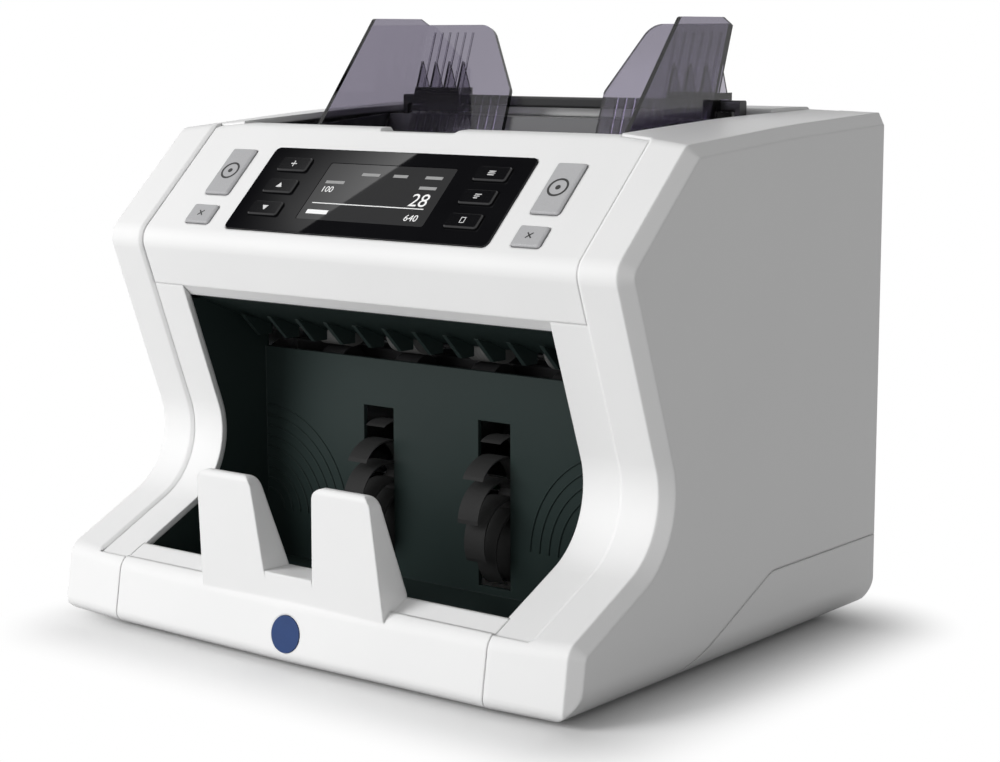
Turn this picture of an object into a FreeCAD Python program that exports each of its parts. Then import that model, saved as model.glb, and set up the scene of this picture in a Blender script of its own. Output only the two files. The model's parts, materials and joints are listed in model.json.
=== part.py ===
import FreeCAD
import Part
import math
import os

V = FreeCAD.Vector

# Millimetres. X runs right, Y back, Z up. The floor is Z 0 and the middle of the machine X 0.

# Body
back_y = 107.5
base_z = 2.0
wall = 2.6
seam = 0.3
edge_chamfer = 4.5
rim_step = 1.0
rim_run = 1.9
panel_wall = 2.5

# Side profile of the rim, Y and Z of each corner and its radius
top_z = 202.5
top_crown = 1.0
brow_top_y = -30.8
brow_top_z = 195.1
brow_top_round = 6.0
brow_y = -73.9
brow_z = 154.2
brow_round = 9.0
knee_y = -38.9
knee_z = 57.3
knee_round = 30.0
nose_y = -103.5
nose_z = 26.0
nose_round = 7.0
nose_foot_y = -107.5
nose_foot_round = 4.5
back_foot_round = 13.0
corner_round = 12.0
mouth_lift = 3.2
nose_bow_inner = 1.7
nose_bow_outer = 4.3

# Half widths in X, from the pocket out to the side
pocket_half = 92.8
tray_lap = 0.8
mouth_lap = 1.9
rim_ledge = 13.8
side_land = 21.7
tray_half = pocket_half + tray_lap
mouth_half = tray_half + mouth_lap
rim_half = mouth_half + rim_ledge
half_width = rim_half + side_land

# Front edges of the openings
fascia_foot_z = 133.9
lip_drop = 4.0
fascia_back_y = -20.5
ridge_y = -98.5
tray_rear_y = -89.3
tray_back_y = -80.3
tray_recess = 1.0

# Seam between the base and the side covers
skirt_z = 32.0
skirt_turn_y = 24.0
skirt_foot_y = -42.6
skirt_round = 12.0

# Prongs of the tray
prong_in_top = 15.9
prong_out_top = 43.7
prong_in_foot = 11.0
prong_out_foot = 46.5
prong_top_z = 71.3
prong_top_front = -107.2
prong_top_depth = 5.0
prong_foot_front = -102.6
prong_round = 5.0
prong_root = 3.0
web_height = 9.5

# Control panel, X across and S up the slope from the brow
bezel_half = 66.4
bezel_low = 7.2
bezel_high = 51.1
bezel_round = 2.5
bezel_proud = 0.6
bezel_rebate = 1.2
bezel_deep = 3.2
bezel_ledge = 2.0
window_half = 32.2
window_low = 14.4
window_high = 44.0
window_thick = 1.2
fit = 0.2
key_gap = 0.3
key_flange = 1.3
key_proud = 1.2
key_travel = 1.0
side_key_wide = 12.9
side_key_margin = 6.3
side_key_out = mouth_half - side_key_margin
side_key_in = side_key_out - side_key_wide
start_low = 24.5
start_high = 49.0
clear_low = 8.8
clear_high = 18.4
func_wide = 15.6
func_margin = 8.6
func_out = bezel_half - func_margin
func_in = func_out - func_wide
func_high = 7.0
func_rows = (14.6, 26.4, 38.0)
board_drop = 9.0
board_thick = 1.6
switch_high = 1.8
board_margin = 1.5
board_half = mouth_half - board_margin
boss_r = 3.0

# Hopper
lip_y = -26.0
lip_z = 193.5
ramp_slope = 38.0
ramp_long = 66.0
sheet = 2.5
back_lean = 19.0
back_ref_y = 62.6
back_ref_z = 204.5
back_low_z = 151.0
back_high_z = 199.0
flange_back_y = 75.0
cheek = 2.0
mouth_gap = 0.5
bed_half = mouth_half - mouth_gap - cheek
notch_half = 20.0
notch_deep = 3.0

# Guides and their rail
rail_inset = 5.0
rail_half = bed_half - rail_inset
rail_y = 64.5
rail_deep = 5.0
rail_z = 203.0
rail_high = 4.5
rail_post = 2.5
guide_park = 9.7
guide_x = rail_half - guide_park
guide_thick = 2.0
guide_top_z = 240.2
guide_corner_y = 72.5
guide_corner_z = 236.9
guide_front_top_y = 36.0
guide_front_low_y = 2.0
guide_front_low_z = 198.2
wing_wide = 54.8
wing_waist_z = 209.6
clip_long = 26.0
clip_wall = 2.6
slide_gap = 0.3
rib_count = 11

# Shafts: pick-up and feed rollers are placed along the hopper ramp, the rest along the paper path
shaft_r = 3.95
run_gap = 0.05
feed_along = 81.1
feed_proud = 1.2
feed_r = 21.0
feed_spans = ((4.0, 20.0, 0.0), (40.0, 52.0, 0.5))
pick_along = 48.0
pick_proud = 1.2
pick_r = 12.0
pick_x = 22.0
pick_wide = 14.0
path_drop = 1.0
move_ahead = 32.7
move_r = 10.5
move_spots = (20.0, 60.0)
move_wide = 14.0
pinch_wide = 12.0
pinch_r = 8.5
pinch_gap = 0.4
wheel_y = -2.0
wheel_z = 49.5
wheel_r = 33.0
wheel_x = 30.0
wheel_wide = 10.0
vane_count = 12
vane_thick = 1.6
hub_r = 9.0
vane_root = 11.0
vane_turn = 22.0
vane_belly = 4.4
vane_sweep = 62.0
retard_r = 11.0
retard_gap = 0.6
retard_near = 4.0
retard_wide = 12.0
retard_pin_r = 3.0
retard_angle = -8.0

# Stacker chute
chute_wall = 1.8
chute_play = 0.2
chute_back_y = -18.4
chute_low_z = 13.0
chute_high_z = 128.0
exit_low = 2.0
exit_high = 4.5
wheel_slot = 3.0
comb_pitch = 15.5
comb_thick = 2.0
comb_margin = 7.0
roof_gap = 0.4
roof_thick = 2.0
floor_front_z = 19.0
floor_back_z = 15.0

# Frame
plate_room = 2.0
plate_in = tray_half - chute_play + chute_wall + plate_room
plate_thick = 1.6
plate_out = plate_in + plate_thick
plate_front_y = -13.0
plate_back_y = 96.0
plate_top_z = 187.0
bearing_r = 8.0
bearing_flange = 9.6
shaft_over = 2.2
shaft_end = plate_out + shaft_over
tie_r = 4.0
tie_spots = ((85.0, 154.0), (88.0, 99.0), (31.0, 14.0))

# Drive
belt_room = 5.7
belt_near = plate_out + belt_room
belt_wide = 5.0
belt_thick = 1.2
belt_gap = 0.3
pulley_flange = 1.3
feed_pulley_r = 16.0
pick_pulley_r = 10.0
move_pulley_r = 12.0
motor_pulley_r = 9.0
motor_y = 66.0
motor_z = 64.0
motor_r = 20.0
motor_long = 50.0
motor_shaft_r = 2.5
stack_motor_y = 38.0
stack_motor_z = 38.0
stack_motor_side = 36.0
stack_motor_long = 35.0
stack_motor_pulley_r = 7.0
wheel_pulley_r = 14.0

# Gap knob
bridge_y = 77.0
bridge_thick = 4.0
bridge_high = 19.0
knob_r = 9.0
knob_y = 84.0
knob_long = 10.0
knob_stem_r = 3.0
knob_reach = 0.6
bracket_gap = 3.0
bracket_thick = 3.0
bracket_half = 24.0
bracket_high = 10.0
arm_in = 18.0
arm_out = 21.0
arm_high = 10.0
pivot_rise = 16.0
pivot_back = 7.2
pivot_r = 2.0
ear_gap = 0.4
ear_thick = 3.0

# Rear
panel_y = 101.9
panel_top_z = 76.2
door_low_z = 80.3
hinge_y = 104.5
hinge_z = 80.0
hinge_r = 3.0
hinge_pin_r = 1.6
pin_gap = 0.08
hinge_x = 60.0
knuckle_long = 11.0
ear_long = 6.0
deck_z = 204.2
deck_front_y = 76.5
deck_half = mouth_half - mouth_gap
inlet_x = 57.0
inlet_z = 54.0
inlet_wide = 54.0
inlet_high = 32.0
inlet_flange = 2.0
inlet_deep = 24.0
socket_wide = 24.5
socket_high = 16.5
socket_deep = 16.0
rocker_wide = 12.4
rocker_high = 19.2
rocker_deep = 9.0
rocker_tip = 7.0
rocker_slot = 0.5
rocker_pin_r = 1.2
rocker_pin = 1.2
rocker_drop = 3.0
port_z = 46.0

# Feet and screws
foot_r = 9.0
foot_inset = 17.3
foot_x = rim_half - foot_inset
foot_front_y = -68.0
foot_rear_y = 88.0
screw_r = 1.5
screw_head_r = 3.0
screw_out = 5.7
screw_x = plate_out + screw_out
screw_spots = (15.0, 78.0)

os.makedirs("parts", exist_ok=True)

# Hopper ramp, with along measured down from the lip and up out of its top face
run = V(0, math.cos(math.radians(ramp_slope)), -math.sin(math.radians(ramp_slope)))
rise = V(0, math.sin(math.radians(ramp_slope)), math.cos(math.radians(ramp_slope)))
lip_at = V(0, lip_y, lip_z)


def ramp_point(along, up):
    spot = lip_at + run * along + rise * up
    return spot.y, spot.z


feed_y, feed_z = ramp_point(feed_along, feed_proud - feed_r)
pick_y, pick_z = ramp_point(pick_along, pick_proud - pick_r)
path_z = feed_z - feed_r - path_drop
move_y = feed_y - move_ahead
move_z = path_z + move_r


def save(name, shape):
    shape.exportStep("parts/" + name + ".step")


# Outlines: closed lists of (u, v, radius), counter-clockwise
def unit(a, b):
    du, dv = b[0] - a[0], b[1] - a[1]
    size = math.hypot(du, dv)
    return du / size, dv / size


def inset(points, depth):
    moved = []
    count = len(points)
    for i in range(count):
        before, here, after = points[i - 1], points[i], points[(i + 1) % count]
        d0, d1 = unit(before, here), unit(here, after)
        turn = d0[0] * d1[1] - d0[1] * d1[0]
        p0 = (here[0] - d0[1] * depth, here[1] + d0[0] * depth)
        p1 = (here[0] - d1[1] * depth, here[1] + d1[0] * depth)
        along = ((p1[0] - p0[0]) * d1[1] - (p1[1] - p0[1]) * d1[0]) / turn
        radius = here[2] if len(here) > 2 else 0.0
        if radius > 0:
            radius = max(radius - depth, 0.4) if turn > 0 else radius + depth
        moved.append((p0[0] + d0[0] * along, p0[1] + d0[1] * along, radius))
    return moved


def outline(points, place):
    corners = []
    count = len(points)
    for i in range(count):
        before, here, after = points[i - 1], points[i], points[(i + 1) % count]
        d0, d1 = unit(here, before), unit(here, after)
        angle = math.acos(max(-1.0, min(1.0, d0[0] * d1[0] + d0[1] * d1[1])))
        radius = here[2] if len(here) > 2 else 0.0
        if radius <= 0:
            corners.append((here, here, here))
            continue
        cut = radius / math.tan(angle / 2)
        start = (here[0] + d0[0] * cut, here[1] + d0[1] * cut)
        end = (here[0] + d1[0] * cut, here[1] + d1[1] * cut)
        mid = ((start[0] + end[0]) / 2, (start[1] + end[1]) / 2)
        inward = unit(here, mid)
        reach = radius / math.sin(angle / 2) - radius
        corners.append((start, (here[0] + inward[0] * reach, here[1] + inward[1] * reach), end))
    edges = []
    for i in range(count):
        start, mid, end = corners[i]
        last = corners[i - 1][2]
        if math.hypot(last[0] - start[0], last[1] - start[1]) > 1e-6:
            edges.append(Part.makeLine(place(*last[:2]), place(*start[:2])))
        if start is not end:
            edges.append(Part.Arc(place(*start), place(*mid), place(*end)).toShape())
    return Part.Wire(edges)


def slab_x(points, x0, x1):
    face = Part.Face(outline(points, lambda u, v: V(x0, u, v)))
    return face.extrude(V(x1 - x0, 0, 0))


def slab_y(points, y0, y1):
    face = Part.Face(outline(points, lambda u, v: V(u, y0, v)))
    return face.extrude(V(0, y1 - y0, 0))


def slab_z(points, z0, z1):
    face = Part.Face(outline(points, lambda u, v: V(u, v, z0)))
    return face.extrude(V(0, 0, z1 - z0))


def box(x0, x1, y0, y1, z0, z1):
    return Part.makeBox(x1 - x0, y1 - y0, z1 - z0, V(x0, y0, z0))


def rod_x(y, z, r, x0, x1):
    return Part.makeCylinder(r, x1 - x0, V(x0, y, z), V(1, 0, 0))


def rod_y(x, z, r, y0, y1):
    return Part.makeCylinder(r, y1 - y0, V(x, y0, z), V(0, 1, 0))


def rod_z(x, y, r, z0, z1):
    return Part.makeCylinder(r, z1 - z0, V(x, y, z0), V(0, 0, 1))


def ring_x(y, z, r, bore, x0, x1):
    return rod_x(y, z, r, x0, x1).cut(rod_x(y, z, bore, x0 - 1, x1 + 1))


def rect(u0, u1, v0, v1, r=0.0):
    return [(u0, v0, r), (u1, v0, r), (u1, v1, r), (u0, v1, r)]


def join(shapes):
    shapes = list(shapes)
    return shapes[0].multiFuse(shapes[1:]).removeSplitter() if len(shapes) > 1 else shapes[0]


def mirrored(shape):
    return shape.mirror(V(0, 0, 0), V(1, 0, 0))


# Body block: sections across the width, shrunk by a depth for every inner face
slope = math.atan2(brow_top_z - brow_z, brow_top_y - brow_y)
ramp = math.atan2(knee_z - nose_z, knee_y - nose_y)


def section(lift, bow):
    crest_y = brow_top_y + lift / math.tan(slope)
    crest_z = brow_top_z + lift
    rear_z = top_z + lift * 0.25
    return [
        (back_y, base_z, back_foot_round),
        (back_y, rear_z, 1.5),
        ((crest_y + back_y) / 2, (crest_z + rear_z) / 2 + top_crown, 900.0),
        (crest_y, crest_z, brow_top_round),
        (brow_y, brow_z, brow_round),
        (knee_y, knee_z, knee_round),
        (nose_y + bow, nose_z + bow * math.tan(ramp), nose_round),
        (nose_foot_y + bow, base_z, nose_foot_round),
    ]


def body(depth):
    bend = math.sqrt(2) - 1
    stations = [
        (mouth_half, section(mouth_lift, nose_bow_inner), depth),
        (half_width - edge_chamfer - bend * depth, section(0, nose_bow_outer), depth),
        (half_width - depth, section(0, nose_bow_outer), edge_chamfer + bend * depth),
    ]
    middle = (0.0, section(mouth_lift, 0), depth)
    rows = [(-x, points, d) for x, points, d in reversed(stations)] + [middle] + stations
    wires = []
    for x, points, d in rows:
        wires.append(outline(inset(points, d) if d else points, lambda u, v, at=x: V(at, u, v)))
    block = Part.makeLoft(wires, True, True)
    low = base_z + depth
    side = half_width - depth
    front = [
        (-side, low, corner_round - depth),
        (side, low, corner_round - depth),
        (side, deck_z + 100),
        (-side, deck_z + 100),
    ]
    return block.common(slab_y(front, nose_foot_y - 50, back_y + 50))


shell = body(0).cut(body(wall))
inner_shell = body(rim_step).cut(body(rim_step + panel_wall))

far = 400.0
crown = section(mouth_lift, nose_bow_inner)
recess_path = inset(crown, rim_step + panel_wall + seam)


# Zone in front of the fascia and strip, from the ridge up over the crest
def recess(depth, top):
    path = inset(crown, depth)
    low_z = nose_z + (ridge_y - nose_y - 1.0) * math.tan(ramp)
    return [
        (path[6][0] + ridge_y - nose_y, path[6][1] + (ridge_y - nose_y) * math.tan(ramp)),
        path[5],
        path[4],
        path[3][:2],
        (path[3][0], top),
        (-far, top),
        (-far, low_z),
        (ridge_y - 1.0, low_z),
    ]


recess_zone = recess(rim_step + panel_wall + seam, far)

# Slope from the foot of the rim up to its face
rim_top = crown[3][1] + 1.0
rim_foot = outline(recess(rim_step, rim_top), lambda u, v: V(rim_half - seam, u, v))
rim_head = outline(recess(-rim_step * seam / rim_run, rim_top), lambda u, v: V(rim_half + rim_run, u, v))
rim_slope = Part.makeLoft([rim_foot, rim_head], True, True)

# Zone below the seam between side covers and base
skirt_zone = [
    (skirt_foot_y - 60, base_z - 40),
    (far, base_z - 40),
    (far, skirt_z),
    (skirt_turn_y, skirt_z, skirt_round),
    (skirt_foot_y, base_z - 1.0, 40.0),
    (skirt_foot_y - 60, base_z - 1.0),
]


# Side covers
def side_cover():
    keep = box(mouth_half, far, -far, far, 0, far).fuse(
        box(tray_half + seam, far, -far, tray_back_y, 0, nose_z + 40))
    cover = shell.common(keep)
    cover = cover.cut(slab_x(recess_zone, 0, rim_half)).cut(rim_slope)
    cover = cover.cut(slab_x(inset(skirt_zone, -seam), 0, far))
    cover = cover.cut(box(0, rim_half, tray_back_y, far, 0, base_z + wall + 1))
    cover = cover.cut(box(0, rim_half, back_y - wall - seam, far, 0, far))
    strip = inner_shell.common(box(pocket_half, rim_half + 3, -far, 0, 0, fascia_foot_z))
    strip = strip.cut(slab_x([
        (-far, -far), (0, -far), (0, base_z + 20), (ridge_y - 2, base_z + 20), (ridge_y - 2, far),
        (-far, far)], 0, far))
    strip = strip.cut(box(0, tray_half + seam, -far, tray_rear_y + seam, 0, far))
    return join([cover, strip])


right_cover = side_cover()
save("right_side_cover", right_cover)
save("left_side_cover", mirrored(right_cover))

# Base pan with its skirt, foot recesses and screw holes
floor_top = base_z + wall
base = shell.common(slab_x(skirt_zone, -far, far))
base = join([base, box(-rim_half + seam, rim_half - seam, tray_back_y + seam, 0, base_z, floor_top)])
foot_spots = [(sx * foot_x, y) for sx in (-1, 1) for y in (foot_front_y, foot_rear_y)]
for x, y in foot_spots:
    base = base.cut(rod_z(x, y, foot_r / 3 + run_gap, 0, floor_top + 1))
case_spots = [(sx * screw_x, y) for sx in (-1, 1) for y in screw_spots]
for x, y in case_spots:
    base = base.cut(rod_z(x, y, screw_r + 0.1, 0, floor_top + 1))
    base = base.cut(rod_z(x, y, screw_head_r + 0.2, 0, floor_top - 0.8))
save("base_pan", base)

feet = []
for x, y in foot_spots:
    pad = Part.makeCone(foot_r - 1, foot_r, base_z, V(x, y, 0))
    feet.append(pad.fuse(rod_z(x, y, foot_r / 3, base_z, floor_top)).removeSplitter())
save("rubber_feet", Part.makeCompound(feet))

# Stacker tray: the nose of the machine and two prongs
tray = shell.common(box(-tray_half, tray_half, -far, tray_rear_y, 0, nose_z + 30))
tray = tray.fuse(shell.common(box(-tray_half, tray_half, -far, tray_back_y, 0, base_z + wall + 1)))
path = inset(crown, tray_recess)
ramp_rise = math.tan(ramp)
top_cut = [
    (ridge_y, path[6][1] + (ridge_y - path[6][0]) * ramp_rise),
    (0, path[6][1] - path[6][0] * ramp_rise),
    (0, far),
    (ridge_y, far),
]
tray = tray.cut(slab_x(top_cut, -tray_half - 1, tray_half + 1))
rear_top = path[6][1] + (tray_rear_y - path[6][0]) * ramp_rise
tray_wall = box(-tray_half, tray_half, tray_rear_y - wall, tray_rear_y, base_z + wall - 0.5, rear_top - 1.4)
prong_side = [
    (prong_foot_front, nose_z - prong_root),
    (tray_rear_y, nose_z - prong_root),
    (tray_rear_y, rear_top + 1.0, 3.0),
    (prong_top_front + prong_top_depth, prong_top_z, 2.2),
    (prong_top_front, prong_top_z, 2.2),
]
prong_front = [
    (prong_in_foot, nose_z - prong_root - 0.5),
    (prong_out_foot, nose_z - prong_root - 0.5),
    (prong_out_top, prong_top_z, prong_round),
    (prong_in_top, prong_top_z, prong_round),
]
prong = slab_x(prong_side, prong_in_foot - 1, prong_out_foot + 1).common(slab_y(prong_front, -far, 0))
web = slab_x(prong_side, -prong_in_foot - 1, prong_in_foot + 1).common(
    box(-prong_in_foot - 1, prong_in_foot + 1, -far, 0, 0, nose_z + web_height))
hollow = body(wall).common(box(-tray_half, tray_half, -far, tray_rear_y - wall, 0, far))
fork = join([prong, mirrored(prong), web]).cut(hollow)
badge_r = 7.0
badge_z = 13.5
badge_lean = math.degrees(math.atan2(nose_y - nose_foot_y, nose_z - base_z))
badge_at = nose_foot_y + (badge_z - base_z) * math.tan(math.radians(badge_lean))
badge_axis = V(0, math.cos(math.radians(badge_lean)), -math.sin(math.radians(badge_lean)))
badge_depth = 1.2
badge_proud = 0.3
badge_start = V(0, badge_at, badge_z) - badge_axis * badge_proud
tray = join([tray, tray_wall, fork])
tray = tray.cut(Part.makeCylinder(badge_r + 0.15, badge_depth + 3, badge_start - badge_axis * 3, badge_axis))
save("stacker_tray", tray)
save("nose_badge", Part.makeCylinder(badge_r, badge_depth, badge_start, badge_axis))

# Control panel frame: X across, Y up the slope, Z out of the fascia
slope_deg = math.degrees(slope)
out = V(0, -math.sin(slope), math.cos(slope))
panel = FreeCAD.Placement(V(0, brow_y, brow_z) - out * rim_step, FreeCAD.Rotation(V(1, 0, 0), slope_deg))


def on_panel(shape):
    moved = shape.copy()
    moved.Placement = panel
    return moved


def tile(x0, x1, s0, s1, n0, n1, r=0.0):
    return slab_z(rect(x0, x1, s0, s1, r), n0, n1)


# Keys: name, x range, s range, top of the cap, underside of the wall it is held by
rows = ("lower", "middle", "upper")
keys = []
for sign, side in ((-1, "left"), (1, "right")):
    xs = sorted((sign * side_key_in, sign * side_key_out))
    keys.append(("start_key_" + side, xs, (start_low, start_high), key_proud, -panel_wall, False))
    keys.append(("clear_key_" + side, xs, (clear_low, clear_high), key_proud, -panel_wall, False))
    xs = sorted((sign * func_in, sign * func_out))
    for row, low in zip(rows, func_rows):
        top = bezel_proud + key_proud
        keys.append((row + "_key_" + side, xs, (low, low + func_high), top, -bezel_deep, True))

# Front fascia
zone = [
    (-far, fascia_foot_z),
    (fascia_back_y, fascia_foot_z),
    (fascia_back_y, far),
    (-far, far),
]
fascia_half = rim_half - seam
fascia = inner_shell.common(slab_x(zone, -fascia_half, fascia_half))
for sign in (-1, 1):
    x0, x1 = sorted((sign * (mouth_half - seam), sign * far))
    fascia = fascia.cut(box(x0, x1, recess_path[3][0] - seam, far, 0, far))
step = inset(crown, rim_step)
face_run = (step[5][0] - step[4][0]) / (step[5][1] - step[4][1])
foot_y = step[4][0] + (fascia_foot_z - step[4][1]) * face_run
lip = [
    (foot_y + 0.1, fascia_foot_z),
    (foot_y + lip_drop, fascia_foot_z - lip_drop),
    (foot_y + lip_drop + 2.4, fascia_foot_z - lip_drop),
    (foot_y + panel_wall, fascia_foot_z + 2),
    (foot_y + 0.6, fascia_foot_z + 1.5),
]
fascia = join([fascia, slab_x(lip, -pocket_half + seam, pocket_half - seam)])
notch = [
    (-notch_half + notch_deep, far), (-notch_half, brow_top_z + mouth_lift - rim_step + 0.4),
    (-notch_half + notch_deep, brow_top_z + mouth_lift - rim_step - notch_deep),
    (notch_half - notch_deep, brow_top_z + mouth_lift - rim_step - notch_deep),
    (notch_half, brow_top_z + mouth_lift - rim_step + 0.4), (notch_half - notch_deep, far),
]
fascia = fascia.cut(slab_y(notch, brow_top_y + notch_deep, 0))
ledge = bezel_ledge
rebate = tile(-bezel_half, bezel_half, bezel_low, bezel_high, -bezel_rebate, 20, bezel_round)
fascia = fascia.cut(on_panel(rebate))
fascia = fascia.cut(on_panel(tile(-bezel_half + ledge, bezel_half - ledge, bezel_low + ledge,
                                  bezel_high - ledge, -20, 20, 1.0)))
for name, xs, ss, top, under, in_bezel in keys:
    if not in_bezel:
        fascia = fascia.cut(on_panel(tile(xs[0] - key_gap, xs[1] + key_gap, ss[0] - key_gap, ss[1] + key_gap,
                                          -20, 20, 1.5)))
boss_spots = [(sx * (side_key_in - 4.0), s) for sx in (-1, 1) for s in (bezel_low - 2.2, bezel_high + 2.2)]
for x, s in boss_spots:
    boss = on_panel(Part.makeCylinder(boss_r, board_drop - panel_wall + 0.5, V(x, s, -board_drop)))
    fascia = fascia.fuse(boss)
fascia = fascia.removeSplitter()
save("front_fascia", fascia)

# Bezel, window, keys and the board behind them
bezel = tile(-bezel_half + fit, bezel_half - fit, bezel_low + fit, bezel_high - fit, -bezel_rebate,
             bezel_proud, bezel_round)
bezel = bezel.fuse(tile(-bezel_half + ledge + fit, bezel_half - ledge - fit, bezel_low + ledge + fit,
                        bezel_high - ledge - fit, -bezel_deep, -bezel_rebate, 1.0))
window_top = bezel_proud - 0.15
bezel = bezel.cut(tile(-window_half, window_half, window_low, window_high, window_top - window_thick, 5, 1.0))
bezel = bezel.cut(tile(-window_half + 2, window_half - 2, window_low + 2, window_high - 2, -10, 5))
for name, xs, ss, top, under, in_bezel in keys:
    if in_bezel:
        bezel = bezel.cut(tile(xs[0] - key_gap, xs[1] + key_gap, ss[0] - key_gap, ss[1] + key_gap,
                               -10, 10, 1.5))
save("control_bezel", on_panel(bezel.removeSplitter()))
window = tile(-window_half + fit, window_half - fit, window_low + fit, window_high - fit,
              window_top - window_thick, window_top, 0.9)
save("display_window", on_panel(window))

board = tile(-board_half, board_half, bezel_low - 5, bezel_high + 5, -board_drop - board_thick, -board_drop)
display = tile(-window_half + 2.4, window_half - 2.4, window_low + 2.4, window_high - 2.4, -board_drop,
               window_top - window_thick - 0.3)
stem_end = -board_drop + switch_high + key_travel + 0.2
switches = []
for name, xs, ss, top, under, in_bezel in keys:
    mid_x, mid_s = (xs[0] + xs[1]) / 2, (ss[0] + ss[1]) / 2
    cap = tile(xs[0], xs[1], ss[0], ss[1], under - key_gap - 0.1, top, 1.2)
    rim = [e for e in cap.Edges if min(v.Z for v in e.Vertexes) > top - 0.01]
    cap = cap.makeChamfer(0.5, rim)
    flange = tile(xs[0] - key_flange, xs[1] + key_flange, ss[0] - key_flange, ss[1] + key_flange,
                  under - key_gap - 1.4, under - key_gap, 1.5)
    stem = Part.makeCylinder(1.6, under - key_gap - 1.0 - stem_end, V(mid_x, mid_s, stem_end))
    save(name, on_panel(join([cap, flange, stem])))
    switches.append(tile(mid_x - 3, mid_x + 3, mid_s - 3, mid_s + 3, -board_drop, -board_drop + switch_high))
board = join([board, display] + switches)
save("control_board", on_panel(board))

# Stacker chute: side walls, back wall with wheel slots, floor
chute_side = slab_x(inset(crown, rim_step + panel_wall + 0.7), tray_half - chute_play,
                    tray_half - chute_play + chute_wall)
chute_side = chute_side.common(box(0, far, tray_rear_y + 1, chute_back_y + 2, chute_low_z, chute_high_z))
chute_back = box(-tray_half, tray_half, chute_back_y, chute_back_y + 2, chute_low_z, path_z - exit_low)
for x in (-wheel_x, wheel_x):
    half_slot = wheel_wide / 2 + wheel_slot
    chute_back = chute_back.cut(box(x - half_slot, x + half_slot, -far, far, floor_back_z + 3,
                                    wheel_z + wheel_r + 2))
floor_path = [
    (tray_rear_y + 1, floor_front_z - 2),
    (chute_back_y + 1, floor_back_z - 2),
    (chute_back_y + 1, floor_back_z),
    (tray_rear_y + 1, floor_front_z),
]
chute_floor = slab_x(floor_path, -tray_half, tray_half)
save("stacker_chute", join([chute_side, mirrored(chute_side), chute_back, chute_floor]))

# Exit guide: the roof of the pocket with a comb at the exit
roof_half = tray_half - roof_gap
roof_path = [
    (foot_y + lip_drop + 4.0, fascia_foot_z - lip_drop - roof_thick / 2),
    (chute_back_y - 5, path_z + exit_high + 4),
    (chute_back_y - 5, path_z + exit_high + 4 + roof_thick),
    (foot_y + lip_drop + 4.0, fascia_foot_z - lip_drop + roof_thick / 2),
]
roof = [slab_x(roof_path, -roof_half, roof_half)]
comb = [
    (chute_back_y - 22, path_z + exit_high + 10),
    (chute_back_y - 12, path_z + exit_high),
    (chute_back_y - 5, path_z + exit_high),
    (chute_back_y - 5, path_z + exit_high + 5),
]
teeth = int(2 * (tray_half - comb_margin) / comb_pitch) + 1
for i in range(teeth):
    x = (i - (teeth - 1) / 2) * comb_pitch
    roof.append(slab_x(comb, x - comb_thick / 2, x + comb_thick / 2))
save("exit_guide", join(roof))

# Hopper bed: ramp with slots for the pick-up rollers, and two cheeks
bed_path = [ramp_point(4, -sheet), ramp_point(ramp_long, -sheet), ramp_point(ramp_long, 0), ramp_point(1, 0),
            ramp_point(1, -1.2)]
bed = slab_x(bed_path, -bed_half, bed_half)
for x in (-pick_x, pick_x):
    half_slot = pick_wide / 2 + 1.5
    slot = [ramp_point(pick_along - 9, -5), ramp_point(pick_along + 9, -5), ramp_point(pick_along + 9, 5),
            ramp_point(pick_along - 9, 5)]
    bed = bed.cut(slab_x(slot, x - half_slot, x + half_slot))


def back_at(z):
    return back_ref_y + (z - back_ref_z) * math.tan(math.radians(back_lean))


cheek_path = [
    ramp_point(4, -sheet),
    ramp_point(ramp_long, -sheet),
    (back_at(back_low_z) - 1.5, back_low_z),
    (back_at(back_high_z) - 1.5, back_high_z),
    (lip_y + 6.0, lip_z - 1.0),
]
cheek_plate = slab_x(cheek_path, bed_half - 0.5, bed_half + cheek)
save("hopper_bed", join([bed, cheek_plate, mirrored(cheek_plate)]))

# Hopper back plate with a flange that carries the rail
lean_thick = sheet / math.cos(math.radians(back_lean))
plate_path = [
    (back_at(back_low_z), back_low_z),
    (back_at(back_low_z) + lean_thick, back_low_z),
    (back_at(back_high_z - sheet) + lean_thick, back_high_z - sheet),
    (flange_back_y, back_high_z - sheet),
    (flange_back_y, back_high_z),
    (back_at(back_high_z), back_high_z),
]
save("hopper_back_plate", slab_x(plate_path, -bed_half + 0.2, bed_half - 0.2))

rail = slab_x(rect(rail_y, rail_y + rail_deep, rail_z, rail_z + rail_high, 1.0), -rail_half, rail_half)
post = box(rail_half - rail_post, rail_half, rail_y, rail_y + rail_deep, back_high_z, rail_z + 1.5)
save("guide_rail", join([rail, post, mirrored(post)]))

# Right guide: side plate, rear wing with ribs, clip round the rail; the left one is its mirror
lean = math.tan(math.radians(back_lean))


def wing_y(z):
    return guide_corner_y + (z - guide_corner_z) * lean


front_lean = (guide_front_top_y - guide_front_low_y) / (guide_top_z - guide_front_low_z)
plate_low_z = guide_front_low_z - 10.0
side_path = [
    (guide_front_low_y - 10.0 * front_lean, plate_low_z, 3.0),
    (wing_y(back_low_z + 12) - 6.0, back_low_z + 12, 3.0),
    (wing_y(back_low_z + 14), back_low_z + 14),
    (guide_corner_y, guide_corner_z, 1.5),
    (guide_corner_y - 6.5, guide_top_z - 0.1, 2.0),
    (guide_front_top_y, guide_top_z, 2.0),
]
outer_x = guide_x + guide_thick / 2
guide_inner_x = outer_x - wing_wide
side_plate = slab_x(side_path, outer_x - guide_thick, outer_x)
wing_base_z = back_low_z + 16.0
wing_frame = FreeCAD.Placement(V(0, wing_y(wing_base_z), wing_base_z),
                               FreeCAD.Rotation(V(1, 0, 0), 90 - back_lean))
wing_high = (guide_corner_z - wing_base_z) / math.cos(math.radians(back_lean))
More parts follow.
